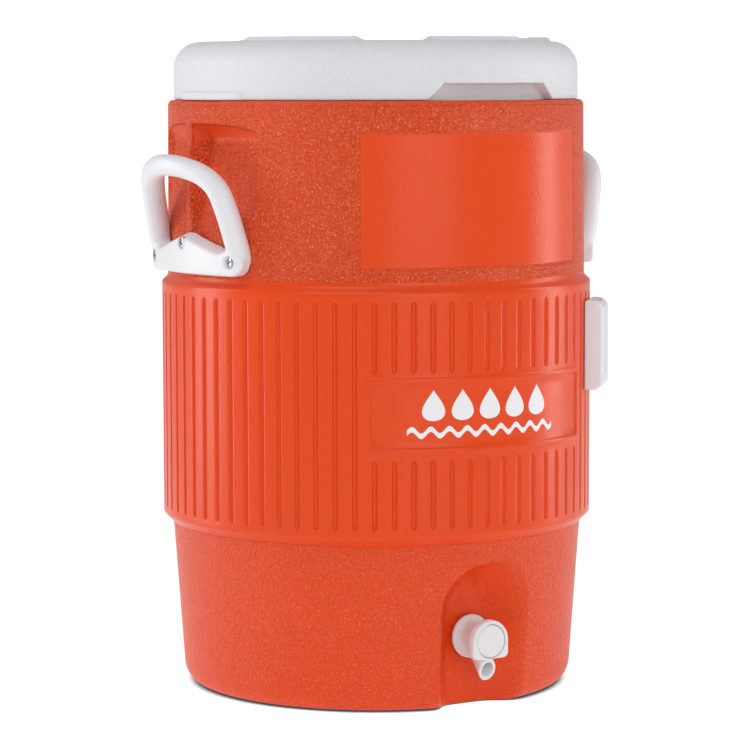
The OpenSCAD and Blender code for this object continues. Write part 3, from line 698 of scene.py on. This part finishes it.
half_bar = np.array([[153.0, -58.2, 331], [154.8, -58.4, 338.5], [158.0, -57.8, 350], [162.6, -54.8, 368],
                     [167.2, -49.8, 383.4], [172.8, -38.4, 393.4], [178.6, -19, 399], [181.2, 0, 400.4]])
bar_path = smooth_path(np.vstack([half_bar, half_bar[-2::-1] * (1, -1, 1)]), 6)
handles = []
for side, sign in (("right", 1), ("left", -1)):
    plate_u = np.concatenate([[-plate_half + 0.05], steps((-plate_half + 0.4, plate_half - 0.4, 1.6)),
                              [plate_half - 0.05]])
    off = np.abs(plate_u)
    corner = np.maximum(off - (plate_half - 11), 0)
    low = plate_bottom + 11 - np.sqrt(np.maximum(11 ** 2 - corner ** 2, 0))
    high = np.interp(off, [0, 6, 46, 52, 62, 67, plate_half], [350.2, 349.8, 339.4, 342, 345, 340.5, 335])
    face = plate_face(plate_u / plate_out) / np.cos(plate_u / plate_out)
    ends = np.stack([np.stack([np.full_like(off, plate_in), low], -1), np.stack([face, low], -1),
                     np.stack([face, high - 4.2], -1), np.stack([np.full_like(off, plate_in), high + 0.6], -1)], 1)
    loop = soft_loop(ends, [0.5, 2.4, 2.2, 1.0])
    angle = 90 + np.degrees(plate_u / plate_out)
    plate = surface("plate", turned(angle[:, None], loop[..., 0], loop[..., 1]), caps=both_ends)
    bar = tube("bar", bar_path, bar_half_w, bar_half_t, (1, 0, 0.4))
    behind = peg("behind", (0, 0, 300), (0, 0, 366), shoulder_r + 0.35, 160)
    seats = []
    for turn, z in screw_places:
        at = screw_seat(turn, z)
        seats.append(peg("seat", at, (195, at[1], z), seat_r))
    handle = fused(f"handle_{side}_moulding", [plate, bar], 1.1, 4, [behind, *seats], again=False)
    if sign < 0:
        handle.data.transform(Matrix.Rotation(math.pi, 4, "Z"))
    handle.data.set_sharp_from_angle(angle=math.radians(40))
    handles.append(handle)
white_moulding = plastic("white_handle_plastic", (0.80, 0.80, 0.812), 0.36, uneven=0.02)
for handle, side in zip(handles, ("right", "left")):
    handle.data.materials.append(white_moulding)
    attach(handle, "cooler")
    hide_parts(f"handle_{side}")

# ---------------------------------------------------------------- handle screws
# Plated steel pan-head screws with a cross recess, three in each handle, sunk into seats.
head_r, head_tall = 4.75, 2.4


def blend(tree, factor, dark, light):
    """Two colours mixed by a factor."""
    mix = tree.nodes.new("ShaderNodeMix")
    mix.data_type = "RGBA"
    mix.inputs["A"].default_value, mix.inputs["B"].default_value = (*dark, 1), (*light, 1)
    tree.links.new(factor, mix.inputs["Factor"])
    return mix.outputs["Result"]


def bright_metal(name, scale, detail, rough, dark, light, rough_span, least_rough):
    """A metal whose colour and roughness vary with one fine noise."""
    material, tree, bsdf = new_material(name)
    bsdf.inputs["Metallic"].default_value = 1.0
    rubs = noise(tree, scale, detail, rough, add_node(tree, "TexCoord").outputs["Object"])
    tree.links.new(blend(tree, rubs.outputs["Fac"], dark, light), bsdf.inputs["Base Color"])
    spread = maths(tree, "MULTIPLY", rubs.outputs["Fac"], rough_span)
    tree.links.new(maths(tree, "ADD", spread, least_rough), bsdf.inputs["Roughness"])
    return material


chrome = bright_metal("chrome_plate", 900, 4, 0.7, (0.24, 0.24, 0.25), (0.62, 0.62, 0.64), 0.16, 0.06)


def screw_head(centre, outward, upward, radius, tall, turn):
    """A pan head as rings about its axis: height falls off towards the rim as the root of a circle, less a
    cross of two tapered slots. The rings are set in a frame of outward, upward and their cross product (mm)."""
    rings = radius * np.array([0.0, 0.1, 0.2, 0.28, 0.36, 0.44, 0.52, 0.6, 0.68, 0.78, 0.88, 0.95, 0.99, 1.0])[1:]
    spin = np.linspace(0, 2 * np.pi, 96, endpoint=False)
    across = rings[:, None] * np.cos(spin + turn)
    along = rings[:, None] * np.sin(spin + turn)
    dome = tall * (0.45 + 0.55 * np.sqrt(np.clip(1 - (rings / radius) ** 2.6, 0, 1)))[:, None]
    slot = np.minimum(np.abs(across), np.abs(along))
    reach = np.maximum(np.abs(across), np.abs(along))
    cross = smooth_step(0.72, 0.42, slot) * smooth_step(0.62 * radius, 0.5 * radius, reach)
    height = dome - 1.5 * cross
    back = np.zeros((2, len(spin)))
    grid_u = np.vstack([rings[:, None] * np.cos(spin), radius * np.cos(spin), 0.4 * radius * np.cos(spin)])
    grid_v = np.vstack([rings[:, None] * np.sin(spin), radius * np.sin(spin), 0.4 * radius * np.sin(spin)])
    grid_h = np.vstack([height, back])
    sideways = np.cross(upward, outward)
    return (centre + grid_u[..., None] * sideways + grid_v[..., None] * upward + grid_h[..., None] * outward) * MM


for side, sign in (("right", 1), ("left", -1)):
    for number, (turn, z) in enumerate(screw_places):
        points = screw_head(screw_seat(turn, z) * (sign, sign, 1), np.array([sign, 0.0, 0.0]),
                            np.array([0, 0, 1.0]), head_r, head_tall, 0.5 + 1.1 * number)
        head = surface(f"handle_screw_{side}_{number + 1}", points, caps=both_ends, sharp=34)
        head.data.materials.append(chrome)
        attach(head, "cooler")
        if number == 0:
            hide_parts(f"handle_screws_{side}")

# ---------------------------------------------------------------- cup bracket
# A white moulded block on the belt, right of the front, with a tall slot open at the top and, more
# narrowly, to the front, which holds a cup dispenser's tongue. Two screws in the slot fix it.
bracket_turn, bracket_half = 47.0, 18.0
bracket_low, bracket_high = 228.0, 296.5
bracket_front = belt_r + 13.5
slot_back, slot_depth, slot_half, slot_mouth_half, slot_floor = belt_r + 2.6, 6.5, 11.0, 2.8, 240.0
bracket_screws = (250.0, 276.0)


def on_bracket(u, d, z):
    """Points u across, d out from the axis and z up, in the bracket's own upright plane."""
    a = math.radians(bracket_turn)
    flat = np.broadcast_arrays(u * math.cos(a) + d * math.sin(a), u * math.sin(a) - d * math.cos(a), z)
    return np.stack(flat, axis=-1)


def bracket_ring(pull, z, front, back_at=belt_r - 6.5):
    """A plan outline of the block at a height, drawn in at the sides by pull and reaching out to front."""
    half = bracket_half - pull
    corners = np.array([(-half, back_at), (half, back_at), (half, front), (-half, front)])
    return on_bracket(*soft_loop(corners, [0.3, 0.3, 2.6, 2.6]).T, z)


rings = np.stack([bracket_ring(pull, z, bracket_front - behind) for pull, z, behind in (
    (1.2, bracket_low, 5.2), (0.4, bracket_low + 0.5, 4.4), (0, bracket_low + 1.6, 2.8), (0, bracket_low + 4.5, 0),
    (0, bracket_high - 5.5, 0), (0, bracket_high - 2.2, 2.4), (0.4, bracket_high - 0.6, 4.6), (1.2, bracket_high, 6))])
block = surface("block", rings * MM, caps=both_ends)


def brick(name, u0, u1, d0, d1, z0, z1):
    """A plain closed block in the bracket's frame, used only to cut."""
    ring = np.array([(u0, d0), (u1, d0), (u1, d1), (u0, d1)], float)
    rings = np.stack([on_bracket(ring[:, 0], ring[:, 1], z) for z in (z0, z1)])
    return surface(name, rings * MM, caps=both_ends)


belt_behind = peg("belt_behind", (0, 0, 200), (0, 0, 320), belt_r + 0.25, 240)
bevel_rings = [on_bracket(np.array([-30, 30, 30, -30.0]), np.array([d - 12, d - 12, d, d]), z)
               for d, z in ((belt_r + 0.3, bracket_high - 1.0), (belt_r + 2.3, bracket_high + 1.0))]
top_bevel = surface("top_bevel", np.stack(bevel_rings) * MM, caps=both_ends)
bracket = fused("cup_bracket_moulding", [block], 0.6, 3, [
    belt_behind, top_bevel, brick("slot", -slot_half, slot_half, slot_back, slot_back + slot_depth, slot_floor, 330),
    brick("mouth", -slot_mouth_half, slot_mouth_half, slot_back + 2, bracket_front + 9, slot_floor, 330)])
bracket.data.materials.append(white_moulding)
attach(bracket, "cooler")
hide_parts("cup_bracket")
facing = on_bracket(0.0, 1.0, 0.0)
for number, z in enumerate(bracket_screws):
    points = screw_head(facing * (slot_back - 0.1) + (0, 0, z), facing, np.array([0, 0, 1.0]), 4.0, 1.3, 0.3 + number)
    head = surface(f"bracket_screw_{number + 1}", points, caps=both_ends, sharp=34)
    head.data.materials.append(chrome)
    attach(head, "cooler")
    if number == 0:
        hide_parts("bracket_screws")

# ---------------------------------------------------------------- inner liner
# The tank's wall is a smooth white tub with a flange that lies on the shell's rim. A round pad stands
# inside where the spigot passes through. Insulating foam fills the space between tub and shell.
liner_floor, flange_r, flange_t, liner_wall = 30.0, 147.0, 1.5, 2.5
spigot_z, barrel_r = 50.7, 9.5


def around_spigot(name, r, d, sides=64, sharp=34, caps=()):
    """Rings about the spigot's level axis, of radius r at a distance d from the body's axis (mm)."""
    turn = np.linspace(0, 2 * np.pi, sides, endpoint=False)[None, :]
    r, d = np.asarray(r, float)[:, None], np.asarray(d, float)[:, None]
    flat = np.broadcast_arrays(r * np.sin(turn), -d + 0 * turn, spigot_z + r * np.cos(turn))
    return surface(name, np.stack(flat, -1) * MM, loop_rows=not caps, caps=caps, sharp=sharp)


corner_t = np.linspace(0, np.pi / 2, 8)
tub_r = np.concatenate([
    [20, 60, 96], 108 + 12.2 * np.sin(corner_t), [121.2, 124, 127, 129, 130.4, 132.5],
    [flange_r - 0.4, flange_r, flange_r - 0.2], [132.6, 132.5, 130, 127, 122.8],
    108 + 14.7 * np.sin(corner_t[::-1]), [96, 60, 20]])
tub_z = np.concatenate([
    [liner_floor] * 3, 42 - 12 * np.cos(corner_t), [100, 220, 340, 430, 446.8, body_h + flange_t],
    [body_h + flange_t, body_h + 1.0, body_h + 0.1], [body_h + 0.1, 440, 340, 220, 60],
    42 - 14.5 * np.cos(corner_t[::-1]), [liner_floor - liner_wall] * 3])
tub_a = np.arange(0, 360, 2.5)
tub = surface("tub", turned(tub_a[None, :], tub_r[:, None], tub_z[:, None]), caps=both_ends, sharp=34)
hole = peg("hole", (0, -100, spigot_z), (0, -140, spigot_z), 10.0, 48)
cut = tub.modifiers.new("cut", "BOOLEAN")
cut.operation, cut.object = "DIFFERENCE", hole
shaped = bpy.data.meshes.new_from_object(tub.evaluated_get(bpy.context.evaluated_depsgraph_get()))
tub.modifiers.clear()
tub.data = shaped
tub.name = shaped.name = "tank_liner"
bpy.data.objects.remove(hole)
pad = around_spigot("liner_spigot_pad", [10, 15.2, 16, 16, 10], [112, 112, 112.8, 121.4, 121.4])
glossy_white = plastic("white_liner_polyethylene", (0.80, 0.805, 0.81), 0.3, uneven=0.03)
for piece in (tub, pad):
    piece.data.materials.append(glossy_white)
    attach(piece, "cooler")
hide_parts("inner_liner")

# Rigid foam with closed cells, seen only where something is taken off; it stays as the CAD has it.
foam, tree, bsdf = new_material("rigid_foam")
bsdf.inputs["Roughness"].default_value = 0.9
cells = add_node(tree, "TexVoronoi", {"Scale": 700, "Vector": add_node(tree, "TexCoord").outputs["Object"]})
cell_tint = blend(tree, cells.outputs["Distance"], (0.62, 0.50, 0.27), (0.78, 0.68, 0.42))
tree.links.new(cell_tint, bsdf.inputs["Base Color"])
bump = add_node(tree, "Bump", {"Distance": 0.0006, "Height": cells.outputs["Distance"]})
tree.links.new(bump.outputs["Normal"], bsdf.inputs["Normal"])


def refinish(node, material):
    """Gives a CAD node's object one material in place of its own."""
    for candidate in bpy.data.objects:
        if candidate.name == node or candidate.name.startswith(node + "."):
            candidate.data.materials.clear()
            candidate.data.materials.append(material)


refinish("body_foam", foam)
black = plastic("black_stopper_plastic", (0.025, 0.025, 0.027), 0.45, uneven=0.1)
refinish("foam_fill_plug", black)

# ---------------------------------------------------------------- lid
# The lid is a hollow white moulding that doubles as a seat: leather-grained outside, a large rounded
# edge, four slightly raised pads on top, a notch for the fingers in front and a small lip at each side.
lid_turn = 4.0
lid_r, lid_low, lid_top, lid_round, lid_wall = 154.8, 448.1, 491.5, 20.0, 2.5
notch_low_half, notch_high_half, notch_top, notch_d = 57.7, 46.0, 460.0, 138.0
pad_in, pad_out, pad_h = 117.0, 133.5, 3.0
lid_pads = ((0, 18), (62, 20.7), (-62, 20.7), (180, 19))


def lid_profile(inward):
    """(outside r, notch r, z outside, z notch) down the rows from the skirt's foot to the middle of the top,
    for the skin that lies so far in from the outside."""
    r0 = lid_r - inward
    wall_z = np.array([0.0, 0.35, 1.0, 2.6, 4.6, 5.3, 6.5, 9.0, 10.9]) + lid_low
    wall_r = r0 - np.array([1.0, 0.35, 0, 0, 0, 0, 0, 0, 0]) * (inward == 0)
    niche_d = notch_d - inward
    top = notch_top + inward
    ceiling_r = np.linspace(niche_d + 2, r0 - 1.6, 6)
    turn = np.radians(np.linspace(0, 90, 13))
    lip_r = r0 - np.array([0.8, 0.25, 0.0])
    lip_z = top + np.array([0.15, 0.7, 1.6])
    round_r = lid_r - lid_round + (lid_round - inward) * np.cos(turn)
    round_z = lid_top - lid_round + (lid_round - inward) * np.sin(turn)
    flat_r = np.array([134.2, 133.6, 133.0, 132.4, 131.8, 131, 128, 124, 120, 118.6, 117.8, 117.0, 116.2, 115.4,
                       114, 104, 92, 80, 55, 25, 6])
    out_r = np.concatenate([wall_r, np.full(6, r0), np.full(3, r0), [r0, r0], round_r, flat_r])
    out_z = np.concatenate([wall_z, np.linspace(notch_top, notch_top + 1.2, 6), notch_top + np.array([1.45, 1.9, 2.5]),
                            [465, 469], round_z, np.full(len(flat_r), lid_top - inward)])
    in_r = np.concatenate([np.full(9, niche_d), ceiling_r, lip_r, out_r[18:]])
    in_z = np.concatenate([wall_z - np.array([0, 0, 0, 0, 0, 0, 0, 0.0, 0.1]), np.full(6, top), lip_z, out_z[18:]])
    return out_r, in_r, out_z, in_z


def lid_grid(inward):
    """The skin's points: the outside profile and the notch's, mixed across the notch's sloping ends. Columns
    keep to the notch's edge at every height."""
    out_r, in_r, out_z, in_z = lid_profile(inward)
    z = out_z[:, None]
    half = np.interp(z, [lid_low, notch_top], [notch_low_half, notch_high_half]) + inward
    edge = np.degrees(np.arcsin(half / lid_r))
    u = np.concatenate([
        np.linspace(0, 0.9, 14), [0.93, 0.955, 0.97, 0.98, 0.988, 0.994, 1.0, 1.006, 1.014, 1.025, 1.05, 1.1],
        np.linspace(1.2, 9.6, 96)])
    u = np.concatenate([-u[:0:-1], u])
    size = np.abs(u)[None, :]
    angle = np.where(size < 1, size * edge, edge + (size - 1) / (u[-1] - 1) * (180 - edge)) * np.sign(u)[None, :]
    open_ = smooth_step(1.012, 0.968, size)
    niche = in_r[:, None] / np.where(np.arange(len(in_r))[:, None] < 9, np.cos(np.radians(angle)), 1)
    ceiling = (np.arange(len(in_r))[:, None] >= 9) & (np.arange(len(in_r))[:, None] < 15)
    share = (in_r[:, None] - in_r[9]) / (in_r[14] - in_r[9])
    niche = np.where(ceiling, (in_r[9] / np.cos(np.radians(angle))) * (1 - share) + in_r[14] * share, niche)
    r = out_r[:, None] + (niche - out_r[:, None]) * open_
    z = out_z[:, None] + (in_z[:, None] - out_z[:, None]) * open_
    if inward == 0:
        side = np.abs(np.abs(angle) - 90)
        r = r + 1.9 * smooth_step(15.4, 14.6, side) * smooth_step(454.6, 453.4, z) * (out_r[:, None] > 150)
        on_pad = np.zeros_like(angle)
        for centre, half_pad in lid_pads:
            off = np.abs(np.mod(angle - centre + 180, 360) - 180)
            on_pad = np.maximum(on_pad, smooth_step(half_pad + 1.6, half_pad - 1.6, off))
        band = smooth_step(pad_out + 0.9, pad_out - 1.5, r) * smooth_step(pad_in - 1.3, pad_in + 1.3, r)
        z = z + pad_h * on_pad * band
    return turned(angle + lid_turn, r, z)


inner_skin, outer_skin = lid_grid(lid_wall), lid_grid(0.0)
lid_shell = surface("lid_shell_moulding", np.vstack([inner_skin[::-1], outer_skin]), caps=both_ends, sharp=44,
                    loop_columns=True)
# The lid's colour carries a faint painted shade in the grain's hollows.
lid_white = plastic("white_lid_polyethylene", (0.76, 0.765, 0.78), 0.5, uneven=0.02, grain=1.0, pebbles=620,
                    depth=0.0004, valley_shade=0.05)
lid_shell.data.materials.append(lid_white)
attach(lid_shell, "lid")
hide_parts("lid_shell")

# The lid's underside is a shallow white pan that plugs the tank's mouth, with a soft ring in a groove.
plug_r, plug_low, deck = 129.2, 429.5, 449.5
pan_a = np.concatenate([np.arange(-17.4, 17.5, 1.16), np.arange(20, 340, 2.5)])
pan_edge = lid_r - lid_wall - 0.1
pan_r = [30, 90, 120, plug_r - 3, plug_r - 0.9, plug_r, plug_r, plug_r - 2, plug_r - 2, plug_r, plug_r, 131, 134,
         pan_edge, pan_edge, 126, 124, 60, 30]
pan_rise = np.array([0, 0, 0, 0, 0.9, 3, 6, 6.05, 9.95, 10])
pan_z = [*(plug_low + pan_rise), deck - 1.2, deck, deck, deck, deck + 2.5, deck + 2.5, *[plug_low + 2.5] * 3]
near_front = np.minimum(np.abs(pan_a), 24)
front_limit = np.where(near_front < 24, (notch_d - lid_wall - 0.2) / np.cos(np.radians(near_front)), 400)
pan_out = np.minimum(np.array(pan_r)[:, None], front_limit)
pan = surface("lid_underside_pan", turned(pan_a[None, :] + lid_turn, pan_out, np.array(pan_z)[:, None]),
              caps=both_ends, sharp=30)
pan.data.materials.append(glossy_white)
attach(pan, "lid")
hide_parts("lid_underside")
seal_turn = np.linspace(0, 2 * np.pi, 16, endpoint=False)
ring_r, ring_z = plug_r - 1.0 + 1.15 * np.cos(seal_turn), plug_low + 8 + 1.9 * np.sin(seal_turn)
lid_ring = surface("lid_seal_ring", turned(np.arange(0, 360, 2.5)[None, :], ring_r[:, None], ring_z[:, None]),
                   loop_rows=True)
soft_seal = plastic("pale_seal_rubber", (0.62, 0.62, 0.60), 0.62, uneven=0.08)
lid_ring.data.materials.append(soft_seal)
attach(lid_ring, "lid")
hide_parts("lid_gasket")
refinish("lid_foam", foam)

# ---------------------------------------------------------------- spigot
# A white moulded push-button spigot, clamped through the wall by a nut inside the tank: a flange, a
# barrel that widens to a shallow arched head, and a short spout that slants forwards to an oval mouth.
flange_out_r, head_half, head_under, head_corner = 16.4, 15.6, 37.3, 4.5
head_back, head_front, neck_r = 151.5, 159.5, 13.5
button_r, button_back, button_face = 12.2, 157.3, 159.25
spout_root, spout_tilt, spout_r, spout_bore_r = 133.6, 47.5, 7.1, 4.85
body_d = np.array([98, 98.6, 129.4, 130, 130, 130.5, 132.2, 133, 133.2, 134.6, 137, 146, 148.5, 151.2, 152])
body_rr = np.array([9.1, barrel_r, barrel_r, barrel_r, 15.9, flange_out_r, flange_out_r, 15.8, 12.4, 10.6, barrel_r,
                    barrel_r, 11.2, neck_r, neck_r])
barrel = around_spigot("barrel", body_rr, body_d, caps=both_ends)
head_turn = np.linspace(-np.pi / 2, np.pi / 2, 49)
foot_turn = np.linspace(0, np.pi / 2, 9)


def head_ring(d, pull):
    """The head's arch at a depth d, drawn in by pull: a half round on straight sides, with a flat foot."""
    half, corner = head_half - pull, head_corner - min(pull, 3)
    foot_u = half - corner + corner * np.cos(foot_turn)
    foot_z = head_under + pull + corner - corner * np.sin(foot_turn)
    u = np.concatenate([half * np.sin(head_turn), foot_u, -foot_u[::-1]])
    z = np.concatenate([spigot_z + half * np.cos(head_turn), foot_z, foot_z[::-1]])
    return np.stack([u, np.full_like(u, -d), z], -1)


head_rings = [head_ring(head_back + d, pull) for d, pull in ((0, 1.4), (0.4, 0.4), (1.4, 0))]
head_rings += [head_ring(head_front - d, pull) for d, pull in ((1.8, 0), (0.7, 0.35), (0.1, 1.1), (0, 1.9))]
head = surface("head", np.stack(head_rings) * MM, caps=both_ends)
lean = math.radians(spout_tilt)
down = np.array([0, -math.cos(lean), -math.sin(lean)])
root = np.array([0, -spout_root, spigot_z])
spout = peg("spout", root, root + down * 45, spout_r - 0.3, 64, spout_r + 0.35)
mouth_d, mouth_z, mouth_tilt = 154.0, 28.4, 15.0
mouth_rings = []
for rise in (-34.0, 8.3):
    near, z = -mouth_d - rise * math.tan(math.radians(mouth_tilt)), mouth_z + rise
    mouth_rings.append([(-20, near, z), (20, near, z), (20, -190, z), (-20, -190, z)])
mouth_cut = surface("mouth_cut", np.array(mouth_rings) * MM, caps=both_ends)
cutters = [
    mouth_cut,
    peg("spout_bore", root + down * 6, root + down * 60, spout_bore_r, 48),
    peg("button_bore", (0, -152.5, spigot_z), (0, -190, spigot_z), button_r + 0.35, 72),
    peg("tank_bore", (0, -90, spigot_z), (0, -114, spigot_z), 6.5, 48),
]
spigot = fused("spigot_body_moulding", [barrel, head, spout], 0.5, 3, cutters)
white_spigot = plastic("white_spigot_plastic", (0.80, 0.80, 0.81), 0.33, uneven=0.02)
spigot.data.materials.append(white_spigot)
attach(spigot, "cooler")
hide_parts("spigot_body")

# The button is a round cap with a faintly domed face; it slides in the head and carries the stem.
cap_r = [*[button_r - pull for pull in (1.6, 1.6, 0.15, 0, 0, 0.25, 1.0)], 9.4, 5, 1.2]
cap_d = [*[button_back + d for d in (0, 0, 0.05, 0.3)], *[button_face + d for d in (-0.8, -0.35, -0.05, 0, 0.05, 0.07)]]
button = around_spigot("spigot_button_cap", cap_r, cap_d, sides=96, caps=both_ends)
button.data.materials.append(white_spigot)
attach(button, "spigot_valve")
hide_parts("spigot_button")
refinish("spigot_stem", white_spigot)
refinish("spigot_nut", white_spigot)
rubber = plastic("white_seal_rubber", (0.55, 0.55, 0.53), 0.6, uneven=0.08)
refinish("spigot_flange_gasket", rubber)
refinish("spigot_inner_gasket", rubber)
refinish("spigot_valve_seal", soft_seal)
steel = bright_metal("drawn_spring_steel", 2500, 3, 0.6, (0.42, 0.42, 0.44), (0.66, 0.66, 0.68), 0.2, 0.2)
refinish("spigot_spring", steel)
